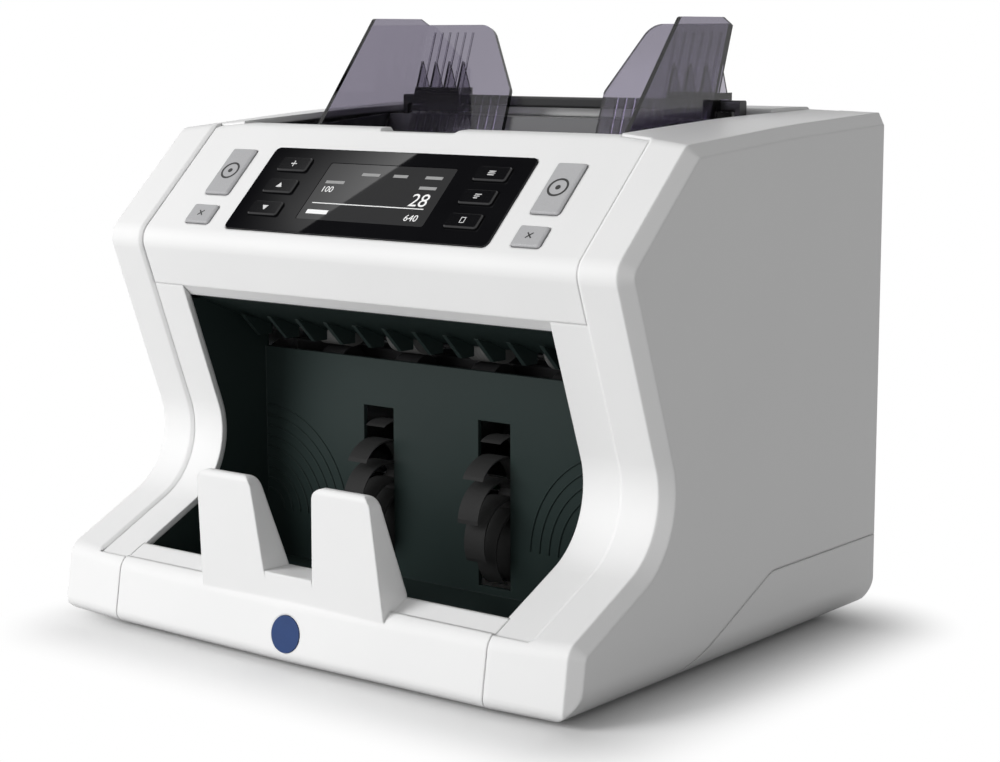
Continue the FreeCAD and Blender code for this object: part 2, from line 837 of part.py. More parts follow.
waist = (wing_waist_z - wing_base_z) / math.cos(math.radians(back_lean))
wing_path = [
    (guide_inner_x, 0, 3.0),
    (outer_x, 0),
    (outer_x, wing_high),
    (guide_inner_x + 17.0, wing_high, 10.0),
    (guide_inner_x, waist, 4.0),
]
wing = slab_z(wing_path, 0, guide_thick)
ribs = []
for i in range(rib_count):
    x = guide_inner_x + 6.0 + i * (outer_x - guide_inner_x - 12.0) / (rib_count - 1)
    top = wing_high - 3.0 if x > guide_inner_x + 24 else waist - 2.0
    ribs.append(Part.makeBox(0.8, top - 6.0, 0.9, V(x, 6.0, -0.6)))
wing = join([wing] + ribs)
wing.Placement = wing_frame
clip_y0 = rail_y - slide_gap - clip_wall
clip_y1 = rail_y + rail_deep + slide_gap + clip_wall
clip_z0 = rail_z - slide_gap - clip_wall
clip_z1 = rail_z + rail_high + slide_gap + clip_wall
clip = box(outer_x - clip_long, outer_x, clip_y0, clip_y1, clip_z0, clip_z1)
clip = clip.cut(box(0, far, rail_y - slide_gap, rail_y + rail_deep + slide_gap, rail_z - slide_gap,
                    rail_z + rail_high + slide_gap))
gussets = []
for i in range(4):
    x = outer_x - clip_long + 1.0 + i * (clip_long - 3.0) / 3
    tip = clip_z1 + 12.0
    gussets.append(slab_x([(wing_y(clip_z1) - 0.5, clip_z1 - 0.5), (clip_y1 - 1.0, clip_z1 - 0.5),
                           (wing_y(tip) - 0.5, tip)], x - 0.6, x + 0.6))
right_guide = join([side_plate, wing, clip] + gussets)
save("right_guide", right_guide)
save("left_guide", mirrored(right_guide))

# Frame plates with bearing and motor holes, and a foot flange
pinch_z = move_z - move_r - pinch_r - pinch_gap
shafts = ((feed_y, feed_z), (pick_y, pick_z), (move_y, move_z), (move_y, pinch_z), (wheel_y, wheel_z))
plate_outline = [
    (plate_front_y, floor_top, 3.0),
    (plate_back_y, floor_top, 3.0),
    (plate_back_y, plate_top_z - 35, 6.0),
    (plate_back_y - 26, plate_top_z, 6.0),
    (plate_front_y, plate_top_z, 6.0),
]


def frame_plate(motor_spot):
    plate = slab_x(plate_outline, plate_in, plate_out)
    flange = box(plate_out - 0.5, plate_out + 11, 5, plate_back_y - 6, floor_top, floor_top + plate_thick)
    plate = plate.fuse(flange)
    for y in screw_spots:
        plate = plate.cut(rod_z(screw_x, y, screw_r + 0.1, 0, floor_top + 5))
    for y, z in shafts:
        plate = plate.cut(rod_x(y, z, bearing_r + 0.05, 0, far))
    return plate.cut(rod_x(motor_spot[0], motor_spot[1], motor_shaft_r * 2, 0, far)).removeSplitter()


save("right_frame_plate", frame_plate((stack_motor_y, stack_motor_z)))
save("left_frame_plate", mirrored(frame_plate((motor_y, motor_z))))
save("tie_bars", Part.makeCompound([rod_x(y, z, tie_r, -plate_in, plate_in) for y, z in tie_spots]))

bearings = []
for y, z in shafts:
    sleeve = ring_x(y, z, bearing_r, shaft_r + run_gap, plate_in - 1, plate_out + 2)
    rim = ring_x(y, z, bearing_flange, bearing_r - 1, plate_out, plate_out + 1)
    bearing = sleeve.fuse(rim).removeSplitter()
    bearings.extend([bearing, mirrored(bearing)])
save("shaft_bearings", Part.makeCompound(bearings))

# Pulleys run with flanges beside the belt
pulley_near = belt_near - 0.7
pulley_far = belt_near + belt_wide + 0.7


def pulley(y, z, r):
    cheek_r = r + belt_gap + belt_thick + 0.4
    return [
        rod_x(y, z, r, pulley_near, pulley_far),
        rod_x(y, z, cheek_r, pulley_near - pulley_flange, pulley_near),
        rod_x(y, z, cheek_r, pulley_far, pulley_far + pulley_flange),
    ]


drive_end = pulley_far + pulley_flange


def shaft_with(y, z, extra, near, end):
    return join([rod_x(y, z, shaft_r, near, end)] + extra)


# Feed shaft with its rubber rollers; this shaft and the next two are turned in one piece with their pulleys
feed_shaft = shaft_with(feed_y, feed_z, pulley(feed_y, feed_z, feed_pulley_r), -shaft_end, drive_end)
save("feed_shaft", mirrored(feed_shaft))
feed_rollers = []
for near, end, less in feed_spans:
    roller = ring_x(feed_y, feed_z, feed_r - less, shaft_r + run_gap, near, end)
    feed_rollers.extend([roller, mirrored(roller)])
save("feed_rollers", Part.makeCompound(feed_rollers))

# Pick-up shaft, transport shaft and pinch roller
pick_shaft = shaft_with(pick_y, pick_z, pulley(pick_y, pick_z, pick_pulley_r), -shaft_end, drive_end)
save("pickup_shaft", mirrored(pick_shaft))
pick_roller = ring_x(pick_y, pick_z, pick_r, shaft_r + run_gap, pick_x - pick_wide / 2,
                     pick_x + pick_wide / 2)
save("pickup_rollers", Part.makeCompound([pick_roller, mirrored(pick_roller)]))
move_shaft = shaft_with(move_y, move_z, pulley(move_y, move_z, move_pulley_r), -shaft_end, drive_end)
save("transport_shaft", mirrored(move_shaft))
move_rollers = []
pinch = [rod_x(move_y, pinch_z, shaft_r, -shaft_end, shaft_end)]
for x in move_spots:
    roller = ring_x(move_y, move_z, move_r, shaft_r + run_gap, x - move_wide / 2, x + move_wide / 2)
    move_rollers.extend([roller, mirrored(roller)])
    idler = rod_x(move_y, pinch_z, pinch_r, x - pinch_wide / 2, x + pinch_wide / 2)
    pinch.extend([idler, mirrored(idler)])
save("transport_rollers", Part.makeCompound(move_rollers))
save("pinch_roller", join(pinch))

# Stacker shaft with its pulley on the right, and two wheels with curved vanes
wheel_pulley = pulley(wheel_y, wheel_z, wheel_pulley_r)
save("stacker_shaft", shaft_with(wheel_y, wheel_z, wheel_pulley, -shaft_end, drive_end))


def polar(r, degrees):
    angle = math.radians(degrees)
    return V(0, wheel_y + r * math.cos(angle), wheel_z + r * math.sin(angle))


def vane(start):
    mid_r = (hub_r + wheel_r) / 2
    grow = math.degrees(vane_thick / wheel_r)
    near = [polar(hub_r - 1, start), polar(mid_r, start + vane_turn), polar(wheel_r, start + vane_sweep)]
    far_side = [polar(hub_r - 1, start + vane_root), polar(mid_r + 0.4, start + vane_turn + vane_belly),
                polar(wheel_r, start + vane_sweep + grow)]
    wire = Part.Wire([
        Part.Arc(*near).toShape(),
        Part.makeLine(near[2], far_side[2]),
        Part.Arc(far_side[2], far_side[1], far_side[0]).toShape(),
        Part.makeLine(far_side[0], near[0]),
    ])
    return Part.Face(wire).extrude(V(wheel_wide, 0, 0))


vanes = [vane(i * 360.0 / vane_count) for i in range(vane_count)]
hub = rod_x(wheel_y, wheel_z, hub_r, 0, wheel_wide)
wheel = join([hub] + vanes).cut(rod_x(wheel_y, wheel_z, shaft_r + run_gap, -1, wheel_wide + 1))
wheels = []
for x in (-wheel_x, wheel_x):
    placed = wheel.copy()
    placed.translate(V(x - wheel_wide / 2, 0, 0))
    wheels.append(placed)
save("stacker_wheels", Part.makeCompound(wheels))


# Motors, their pulleys and the two belts
def motor_pulley(y, z, r, depth):
    return join(pulley(y, z, r) + [rod_x(y, z, motor_shaft_r, plate_in - depth, drive_end)])


shaft_depth = 8.0
motor = rod_x(motor_y, motor_z, motor_r, plate_in - motor_long, plate_in)
motor_cap_r = 9.0
motor_cap = 4.0
motor_end = plate_in - motor_long
motor = motor.fuse(rod_x(motor_y, motor_z, motor_cap_r, motor_end - motor_cap, motor_end))
motor = motor.cut(rod_x(motor_y, motor_z, motor_shaft_r + run_gap, plate_in - shaft_depth - 0.5, far))
save("drive_motor", mirrored(motor.removeSplitter()))
save("drive_motor_pulley", mirrored(motor_pulley(motor_y, motor_z, motor_pulley_r, shaft_depth)))
reach = stack_motor_side / 2
square = rect(stack_motor_y - reach, stack_motor_y + reach, stack_motor_z - reach, stack_motor_z + reach, 4.0)
stack_motor = slab_x(square, plate_in - stack_motor_long, plate_in)
stack_motor = stack_motor.cut(
    rod_x(stack_motor_y, stack_motor_z, motor_shaft_r + run_gap, plate_in - shaft_depth - 0.5, far))
save("stacker_motor", stack_motor)
save("stacker_motor_pulley", motor_pulley(stack_motor_y, stack_motor_z, stack_motor_pulley_r, shaft_depth))


def loop(circles, grow):
    count = len(circles)
    normals = []
    for i in range(count):
        a, b = circles[i], circles[(i + 1) % count]
        length = math.hypot(b[0] - a[0], b[1] - a[1])
        along = ((b[0] - a[0]) / length, (b[1] - a[1]) / length)
        lean_in = (a[2] - b[2]) / length
        side = math.sqrt(1 - lean_in * lean_in)
        normals.append((along[0] * lean_in + along[1] * side, along[1] * lean_in - along[0] * side))
    edges = []
    for i in range(count):
        y, z, r = circles[i]
        r = r + grow
        first, last = normals[i - 1], normals[i]
        a0 = math.atan2(first[1], first[0])
        a1 = math.atan2(last[1], last[0])
        while a1 < a0:
            a1 += 2 * math.pi
        mid = (a0 + a1) / 2
        spots = [V(0, y + r * math.cos(a), z + r * math.sin(a)) for a in (a0, mid, a1)]
        edges.append(Part.Arc(*spots).toShape())
        after = circles[(i + 1) % count]
        reach_r = after[2] + grow
        meeting = V(0, after[0] + reach_r * last[0], after[1] + reach_r * last[1])
        edges.append(Part.makeLine(spots[2], meeting))
    return Part.Face(Part.Wire(edges))


def belt(circles, x0, x1):
    band = loop(circles, belt_gap + belt_thick).cut(loop(circles, belt_gap))
    band = band.extrude(V(x1 - x0, 0, 0))
    band.translate(V(x0, 0, 0))
    return band


drive_circles = (
    (motor_y, motor_z, motor_pulley_r),
    (feed_y, feed_z, feed_pulley_r),
    (pick_y, pick_z, pick_pulley_r),
    (move_y, move_z, move_pulley_r),
)
save("drive_belt", belt(drive_circles, -belt_near - belt_wide, -belt_near))
stack_circles = ((stack_motor_y, stack_motor_z, stack_motor_pulley_r), (wheel_y, wheel_z, wheel_pulley_r))
save("stacker_belt", belt(stack_circles, belt_near, belt_near + belt_wide))

# Retard rollers on a bracket that the gap knob sets
retard_reach = feed_r + retard_r + retard_gap
retard_y = feed_y + retard_reach * math.cos(math.radians(retard_angle))
retard_z = feed_z + retard_reach * math.sin(math.radians(retard_angle))
bracket_back = bridge_y - bracket_gap
pivot_y = retard_y + pivot_back
pivot_z = retard_z + pivot_rise
ear_in = bracket_half + ear_gap
ear_out = ear_in + ear_thick
bracket = [
    box(-bracket_half, bracket_half, bracket_back - bracket_thick, bracket_back, retard_z - bracket_high,
        retard_z + bracket_high),
    rod_x(pivot_y, pivot_z, pivot_r, -ear_out, ear_out),
    rod_x(retard_y, retard_z, retard_pin_r, -arm_out, arm_out),
]
for sign in (-1, 1):
    near, end = sorted((sign * arm_in, sign * arm_out))
    bracket.append(box(near, end, retard_y - arm_high / 2, bracket_back - bracket_thick / 2,
                       retard_z - arm_high / 2, retard_z + arm_high / 2))
    bracket.append(box(near, end, pivot_y - pivot_r * 2, pivot_y + pivot_r * 2, retard_z,
                       pivot_z + pivot_r * 2))
save("retard_bracket", join(bracket))
retard = ring_x(retard_y, retard_z, retard_r, retard_pin_r + run_gap, retard_near, retard_near + retard_wide)
save("retard_rollers", Part.makeCompound([retard, mirrored(retard)]))
bridge = [box(-plate_in, plate_in, bridge_y, bridge_y + bridge_thick, retard_z - bridge_high / 2,
              retard_z + bridge_high / 2)]
for sign in (-1, 1):
    near, end = sorted((sign * ear_in, sign * ear_out))
    bridge.append(box(near, end, bridge_y, bridge_y + bridge_thick, retard_z + bridge_high / 4,
                      pivot_z + pivot_r * 2))
    bridge.append(box(near, end, pivot_y - pivot_r * 2, bridge_y + bridge_thick, pivot_z - pivot_r * 2,
                      pivot_z + pivot_r * 2))
bridge = join(bridge)
bridge = bridge.cut(rod_y(0, retard_z, knob_stem_r + run_gap, 0, far))
bridge = bridge.cut(rod_x(pivot_y, pivot_z, pivot_r + run_gap, -ear_out - 1, ear_out + 1))
save("knob_bridge", bridge)
knob = rod_y(0, retard_z, knob_r, knob_y, knob_y + knob_long)
flute_count = 12
flute_r = 1.8
flute_out = 0.8
flutes = []
for i in range(flute_count):
    angle = i * 2 * math.pi / flute_count
    spot = (knob_r + flute_out) * math.cos(angle), retard_z + (knob_r + flute_out) * math.sin(angle)
    flutes.append(rod_y(spot[0], spot[1], flute_r, knob_y - 1, knob_y + knob_long + 1))
knob = knob.cut(Part.makeCompound(flutes))
knob = knob.fuse(rod_y(0, retard_z, knob_stem_r, bracket_back + knob_reach, knob_y)).removeSplitter()
save("gap_knob", knob)

# Path guide round the feed rollers, and the image sensor bar after it
arc_gap = 1.6
arc_thick = 1.4
arc_start = -32.0
arc_end = -100.0
arc_in = feed_r + arc_gap
arc_out = arc_in + arc_thick
arc_mid = (arc_start + arc_end) / 2


def round_feed(r, degrees):
    angle = math.radians(degrees)
    return V(0, feed_y + r * math.cos(angle), feed_z + r * math.sin(angle))


arc_wire = Part.Wire([
    Part.Arc(*[round_feed(arc_in, a) for a in (arc_start, arc_mid, arc_end)]).toShape(),
    Part.makeLine(round_feed(arc_in, arc_end), round_feed(arc_out, arc_end)),
    Part.Arc(*[round_feed(arc_out, a) for a in (arc_end, arc_mid, arc_start)]).toShape(),
    Part.makeLine(round_feed(arc_out, arc_start), round_feed(arc_in, arc_start)),
])
path_guide = Part.Face(arc_wire).extrude(V(2 * plate_in, 0, 0))
path_guide.translate(V(-plate_in, 0, 0))
save("path_guide", path_guide)
sensor_drop = 2.6
sensor_high = 12.0
sensor_after = 3.5
sensor_before = 7.5
sensor_top = feed_z - feed_r - sensor_drop
sensor_path = rect(move_y + pinch_r + sensor_after, feed_y - sensor_before, sensor_top - sensor_high,
                   sensor_top, 1.0)
save("sensor_bar", slab_x(sensor_path, -plate_in, plate_in))

# Electronics on the base and on the right frame plate
supply_left = -44.0
supply_front = 50.0
supply_wide = 64.0
supply_long = 46.0
supply_rise = 8.0
post_r = 2.5
post_inset = 4.0
coil_inset = 10.0
coil_wide = 26.0
coil_long = 24.0
coil_high = 25.0
can_r = 7.0
can_high = 23.0
can_inset = 14.0
can_step = 20.0
supply_right = supply_left + supply_wide
supply_back = supply_front + supply_long
supply_z = floor_top + supply_rise
supply = [box(supply_left, supply_right, supply_front, supply_back, supply_z, supply_z + board_thick)]
for x in (supply_left + post_inset, supply_right - post_inset):
    for y in (supply_front + post_inset, supply_back - post_inset):
        supply.append(rod_z(x, y, post_r, floor_top, supply_z + 0.5))
coil_x = supply_left + coil_inset
coil_y = supply_front + coil_inset
supply.append(box(coil_x, coil_x + coil_wide, coil_y, coil_y + coil_long, supply_z + 1,
                  supply_z + 1 + coil_high))
for y in (coil_y, coil_y + can_step):
    supply.append(rod_z(supply_right - can_inset, y, can_r, supply_z + 1, supply_z + 1 + can_high))
save("power_supply", join(supply))
main_gap = 14.0
main_front = 16.0
main_long = 72.0
main_low = 90.0
main_high = 70.0
main_inset = 5.0
chip_high = 3.0
chips = ((14.0, 26.0, 16.0), (42.0, 42.0, 12.0), (54.0, 18.0, 10.0))
main_x = plate_out + main_gap
main_back = main_front + main_long
main_top = main_low + main_high
main = [box(main_x, main_x + board_thick, main_front, main_back, main_low, main_top)]
for y in (main_front + main_inset, main_back - main_inset):
    for z in (main_low + main_inset, main_top - main_inset):
        main.append(rod_x(y, z, post_r, plate_out, main_x + 0.5))
for along, up, side in chips:
    y = main_front + along
    z = main_low + up
    main.append(box(main_x + 1, main_x + 1 + chip_high, y - side / 2, y + side / 2, z - side / 2,
                    z + side / 2))
save("main_board", join(main))

# Rear panel with sockets, and the hinged rear door above it
panel_half = rim_half - 0.6
panel_back = panel_y + wall
inlet_x0 = inlet_x - inlet_wide / 2
inlet_x1 = inlet_x + inlet_wide / 2
inlet_z0 = inlet_z - inlet_high / 2
inlet_z1 = inlet_z + inlet_high / 2
margin = 4.0
rear = box(-panel_half, panel_half, panel_y, panel_back, skirt_z + seam, panel_top_z)
rear = rear.cut(box(inlet_x0 + margin - fit, inlet_x1 - margin + fit, 0, far, inlet_z0 + margin - fit,
                    inlet_z1 - margin + fit))
ports = ((-76.0, 15.0, 13.0, 11.7, 8.2), (-54.0, 14.0, 12.0, 8.4, 7.8))
for x, wide, high, gap_wide, gap_high in ports:
    rear = rear.cut(box(x - wide / 2 - fit, x + wide / 2 + fit, 0, far, port_z - high / 2 - fit,
                        port_z + high / 2 + fit))
ears = []
knuckles = []
for sign in (-1, 1):
    mid = sign * hinge_x
    for edge in (-1, 1):
        near = mid + edge * (knuckle_long / 2 + 0.4)
        x0, x1 = sorted((near, near + edge * ear_long))
        ear = rod_x(hinge_y, hinge_z, hinge_r, x0, x1)
        ears.append(ear.fuse(box(x0, x1, panel_y, panel_back, panel_top_z - 1, hinge_z)))
    knuckle = rod_x(hinge_y, hinge_z, hinge_r, mid - knuckle_long / 2, mid + knuckle_long / 2)
    knuckle = knuckle.fuse(box(mid - knuckle_long / 2, mid + knuckle_long / 2, hinge_y - hinge_r + 0.4,
                               back_y, hinge_z, hinge_z + 8))
    knuckles.append(knuckle)
    reach = knuckle_long / 2 + 1.0
    ears.append(rod_x(hinge_y, hinge_z, hinge_pin_r, mid - reach, mid + reach))
save("rear_panel", join([rear] + ears))

door_side = back_y - wall
door = [
    box(-panel_half, panel_half, door_side, back_y, door_low_z, top_z - 1.0),
    slab_x([(deck_front_y, deck_z - wall), (door_side, deck_z - wall), (door_side, top_z - 12),
            (back_y, top_z - 12), (back_y, deck_z, 4.0), (deck_front_y, deck_z, 1.5)], -deck_half, deck_half),
    box(-deck_half, deck_half, deck_front_y, deck_front_y + wall, deck_z - 5, deck_z - 1),
]
door = join(door + knuckles)
for sign in (-1, 1):
    for edge in (-1, 1):
        near = sign * hinge_x + edge * knuckle_long / 2
        x0, x1 = sorted((near, near + edge * (ear_long + 0.9)))
        door = door.cut(box(x0, x1, 0, far, door_low_z - 1, hinge_z + hinge_r + 0.6))
    bore = hinge_pin_r + pin_gap
    mid = sign * hinge_x
    door = door.cut(rod_x(hinge_y, hinge_z, bore, mid - knuckle_long, mid + knuckle_long))
grip_half = 32.0
grip_low_z = 180.0
grip_high = 12.0
grip_deep = 1.3
grip_path = rect(-grip_half, grip_half, grip_low_z, grip_low_z + grip_high, grip_high / 2 - 0.1)
grip = slab_y(grip_path, back_y - grip_deep, back_y + 1)
save("rear_door", door.cut(grip))

# Mains inlet with its switch frame and the rocker
inlet = slab_y(rect(inlet_x0, inlet_x1, inlet_z0, inlet_z1, 3.0), panel_back, panel_back + inlet_flange)
inlet = inlet.fuse(box(inlet_x0 + margin, inlet_x1 - margin, panel_back - inlet_deep, panel_back + 0.5,
                       inlet_z0 + margin, inlet_z1 - margin))
socket_x = inlet_x + 9.0
mouth_y = panel_back + inlet_flange
socket = [
    (socket_x - socket_wide / 2, inlet_z - socket_high / 2, 1.5),
    (socket_x + socket_wide / 2, inlet_z - socket_high / 2, 1.5),
    (socket_x + socket_wide / 2, inlet_z + socket_high / 2 - 4.5, 1.0),
    (socket_x + socket_wide / 2 - 4.5, inlet_z + socket_high / 2, 1.0),
    (socket_x - socket_wide / 2 + 4.5, inlet_z + socket_high / 2, 1.0),
    (socket_x - socket_wide / 2, inlet_z + socket_high / 2 - 4.5, 1.0),
]
inlet = inlet.cut(slab_y(socket, mouth_y - socket_deep, far))
blades = []
for dx, dz in ((-7.0, -2.0), (0.0, 2.0), (7.0, -2.0)):
    x, z = socket_x + dx, inlet_z + dz
    blades.append(box(x - 1, x + 1, mouth_y - socket_deep - 1, mouth_y - 2, z - 2, z + 2))
rocker_x = inlet_x - 15.0
inlet = inlet.cut(box(rocker_x - rocker_wide / 2 - rocker_slot, rocker_x + rocker_wide / 2 + rocker_slot,
                      mouth_y - rocker_deep - 2.5, far, inlet_z - rocker_high / 2 - rocker_slot,
                      inlet_z + rocker_high / 2 + rocker_slot))
rocker_pivot_y = mouth_y - rocker_drop
pin_reach = rocker_wide / 2 + rocker_pin
inlet = inlet.cut(rod_x(rocker_pivot_y, inlet_z, rocker_pin_r + run_gap, rocker_x - pin_reach - fit,
                        rocker_x + pin_reach + fit))
save("power_inlet", join([inlet] + blades))
rocker_path = [
    (rocker_pivot_y - rocker_deep + 5, inlet_z + 4.0, 1.0),
    (rocker_pivot_y, inlet_z + rocker_high / 2 - 0.6),
    (mouth_y + 0.8, inlet_z + rocker_high / 2 - 0.6, 0.8),
    (mouth_y - 0.2, inlet_z),
    (mouth_y + 0.8, inlet_z - rocker_high / 2 + 0.6, 0.8),
    (rocker_pivot_y, inlet_z - rocker_high / 2 + 0.6),
    (rocker_pivot_y - rocker_deep + 5, inlet_z - 4.0, 1.0),
]
rocker = slab_x(rocker_path, rocker_x - rocker_wide / 2, rocker_x + rocker_wide / 2)
rocker_pins = rod_x(rocker_pivot_y, inlet_z, rocker_pin_r, rocker_x - pin_reach, rocker_x + pin_reach)
rocker = join([rocker, rocker_pins])
rocker.rotate(V(rocker_x, rocker_pivot_y, inlet_z), V(1, 0, 0), -rocker_tip)
save("power_rocker", rocker)

port_case = 13.0
port_deep = 10.0
port_proud = 0.6
sockets = []
for x, wide, high, gap_wide, gap_high in ports:
    block = box(x - wide / 2, x + wide / 2, panel_back - port_case, panel_back + port_proud,
                port_z - high / 2, port_z + high / 2)
    gap = box(x - gap_wide / 2, x + gap_wide / 2, panel_back - port_deep, far, port_z - gap_high / 2,
              port_z + gap_high / 2)
    sockets.append(block.cut(gap))
save("data_sockets", Part.makeCompound(sockets))

# Screws that hold the frame plates down on the base
screws = []
for x, y in case_spots:
    head = rod_z(x, y, screw_head_r, base_z + 0.2, floor_top - 0.8)
    stem = rod_z(x, y, screw_r, floor_top - 0.8, floor_top + plate_thick + 2)
    cross = box(x - 2, x + 2, y - 0.4, y + 0.4, 0, base_z + 0.9).fuse(
        box(x - 0.4, x + 0.4, y - 2, y + 2, 0, base_z + 0.9))
    screws.append(head.fuse(stem).cut(cross).removeSplitter())
save("base_screws", Part.makeCompound(screws))
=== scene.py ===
import json
import math

import bpy
from mathutils import Matrix, Vector

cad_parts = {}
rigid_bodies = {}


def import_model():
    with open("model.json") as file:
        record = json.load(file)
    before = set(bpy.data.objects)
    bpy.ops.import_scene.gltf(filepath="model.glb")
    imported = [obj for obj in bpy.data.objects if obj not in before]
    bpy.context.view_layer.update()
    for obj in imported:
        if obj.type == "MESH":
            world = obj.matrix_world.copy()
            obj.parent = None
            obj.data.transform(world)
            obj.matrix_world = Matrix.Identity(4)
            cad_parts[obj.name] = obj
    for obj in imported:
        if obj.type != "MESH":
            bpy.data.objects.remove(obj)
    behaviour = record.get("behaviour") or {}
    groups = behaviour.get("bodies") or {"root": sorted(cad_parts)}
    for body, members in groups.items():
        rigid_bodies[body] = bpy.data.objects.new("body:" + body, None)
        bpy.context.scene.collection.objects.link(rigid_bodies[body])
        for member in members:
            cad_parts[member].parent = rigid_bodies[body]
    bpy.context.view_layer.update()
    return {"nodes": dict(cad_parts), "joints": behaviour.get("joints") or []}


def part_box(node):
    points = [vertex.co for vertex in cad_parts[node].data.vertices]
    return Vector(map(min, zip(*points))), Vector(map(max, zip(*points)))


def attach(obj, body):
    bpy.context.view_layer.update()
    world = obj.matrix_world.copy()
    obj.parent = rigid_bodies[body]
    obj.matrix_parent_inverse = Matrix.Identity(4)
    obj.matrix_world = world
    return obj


for leftover in list(bpy.data.objects):
    bpy.data.objects.remove(leftover)
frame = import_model()
nodes = frame["nodes"]
bpy.context.scene.view_settings.view_transform = "Standard"

# Base pan: the white floor of the housing with a low skirt all round.
# Injection moulded ABS with a fine spark-eroded texture; the side covers lap over its skirt.


class Wire:
    """A shader socket that can be reckoned with."""

    def __init__(self, tree, socket=None):
        self.tree = tree
        self.socket = socket

    def node(self, kind, settings=None, values=None, out=0):
        made = self.tree.nodes.new("ShaderNode" + kind)
        for name, value in (settings or {}).items():
            setattr(made, name, value)
        for name, value in (values or {}).items():
            if isinstance(value, Wire):
                self.tree.links.new(value.socket, made.inputs[name])
            else:
                made.inputs[name].default_value = value
        return Wire(self.tree, made.outputs[out] if made.outputs else None)

    def math(self, operation, first, second):
        return self.node("Math", {"operation": operation}, {0: first, 1: second})

    def __add__(self, other):
        return self.math("ADD", self, other)

    def __radd__(self, other):
        return self.math("ADD", other, self)

    def __sub__(self, other):
        return self.math("SUBTRACT", self, other)

    def __rsub__(self, other):
        return self.math("SUBTRACT", other, self)

    def __mul__(self, other):
        return self.math("MULTIPLY", self, other)

    def __rmul__(self, other):
        return self.math("MULTIPLY", other, self)

    def blend(self, low, high):
        return self.node("Mix", {"data_type": "RGBA"}, {0: self, 6: low, 7: high}, 2)


def finish(name, shade):
    made = bpy.data.materials.new(name)
    made.use_nodes = True
    made.node_tree.nodes.clear()
    wire = Wire(made.node_tree)
    wire.node("OutputMaterial", values=shade(wire))
    return made


def moulded(deep, pale, rough, grain=2400.0, depth=0.000012, edge=0.0, gloss=0.5):
    """Moulded plastic: a slow drift of tone, a spark texture, and edges rounded as the tool left them."""

    def shade(wire):
        place = wire.node("TexCoord", out="Object")
        drift = wire.node("TexNoise", values={"Vector": place, "Scale": 16.0, "Detail": 4.0})
        spark = wire.node("TexNoise", values={"Vector": place, "Scale": grain, "Detail": 2.0})
        relief = {"Height": spark, "Strength": 0.6, "Distance": depth}
        if edge:
            relief["Normal"] = wire.node("Bevel", {"samples": 4}, {"Radius": edge})
        skin = {
            "Base Color": drift.blend(deep, pale),
            "Roughness": drift * 0.1 + (rough - 0.05),
            "Normal": wire.node("Bump", values=relief),
            "Specular IOR Level": gloss,
        }
        return {"Surface": wire.node("BsdfPrincipled", values=skin)}

    return shade


def dress(made, *names):
    for name in names:
        slots = nodes[name].data.materials
        slots.clear()
        slots.append(made)


cover_white = finish("cover_white", moulded(
    deep=(0.80, 0.80, 0.80, 1), pale=(0.86, 0.86, 0.858, 1), rough=0.42, edge=0.0014))
dress(cover_white, "base_pan")

# Feet and base screws: four rubber buttons pushed into the floor, and the screws that close the housing.
# Nitrile rubber with a dull moulded skin; zinc-plated steel screws sunk in counterbores.
rubber_black = finish("rubber_black", moulded(
    deep=(0.014, 0.014, 0.014, 1), pale=(0.028, 0.028, 0.028, 1), rough=0.72, grain=900.0, depth=0.00004))
dress(rubber_black, "rubber_feet")


def metal(deep, pale, rough, stretch, scale, depth=0.000006):
    """Worked metal: tool marks drawn out along one axis, with a slight change of polish."""

    def shade(wire):
        place = wire.node("TexCoord", out="Object")
        drawn = wire.node("Mapping", values={"Vector": place, "Scale": stretch})
        marks = wire.node("TexNoise", values={"Vector": drawn, "Scale": scale, "Detail": 5.0})
        drift = wire.node("TexNoise", values={"Vector": place, "Scale": 40.0, "Detail": 3.0})
        skin = {
            "Base Color": marks.blend(deep, pale),
            "Metallic": 1.0,
            "Roughness": drift * 0.16 + (rough - 0.08),
            "Normal": wire.node("Bump", values={"Height": marks, "Strength": 0.5, "Distance": depth}),
        }
        return {"Surface": wire.node("BsdfPrincipled", values=skin)}

    return shade


steel = finish("steel", metal(
    deep=(0.40, 0.40, 0.41, 1), pale=(0.62, 0.62, 0.63, 1), rough=0.36, stretch=(1.0, 1.0, 1.0), scale=300.0))
dress(steel, "base_screws")

# Frame plates, tie bars and bearings: the inner chassis that carries every shaft.
# Punched zinc-plated sheet with its spangle, turned steel bars, and bearings pressed into the plates.


def spangled(wire):
    place = wire.node("TexCoord", out="Object")
    flake = wire.node("TexVoronoi", {"feature": "F1"}, {"Vector": place, "Scale": 260.0}, "Color")
    grey = wire.node("SeparateColor", values={"Color": flake})
    skin = {
        "Base Color": grey.blend((0.46, 0.48, 0.49, 1), (0.66, 0.67, 0.68, 1)),
        "Metallic": 1.0,
        "Roughness": grey * 0.18 + 0.32,
    }
    return {"Surface": wire.node("BsdfPrincipled", values=skin)}


zinc_plate = finish("zinc_plate", spangled)
dress(zinc_plate, "left_frame_plate", "right_frame_plate")
dress(steel, "tie_bars", "shaft_bearings")

# Shafts and rollers: the pick-up, feed and transport rolls, and the pinch roller that runs against them.
# Ground steel shafts, grey urethane tyres ribbed along the shaft, black acetal for the idler.
shaft_metal = finish("shaft_metal", metal(
    deep=(0.50, 0.50, 0.50, 1), pale=(0.74, 0.74, 0.74, 1), rough=0.22, stretch=(40.0, 1.0, 1.0), scale=90.0))
dress(shaft_metal, "feed_shaft", "pickup_shaft", "transport_shaft", "stacker_shaft")


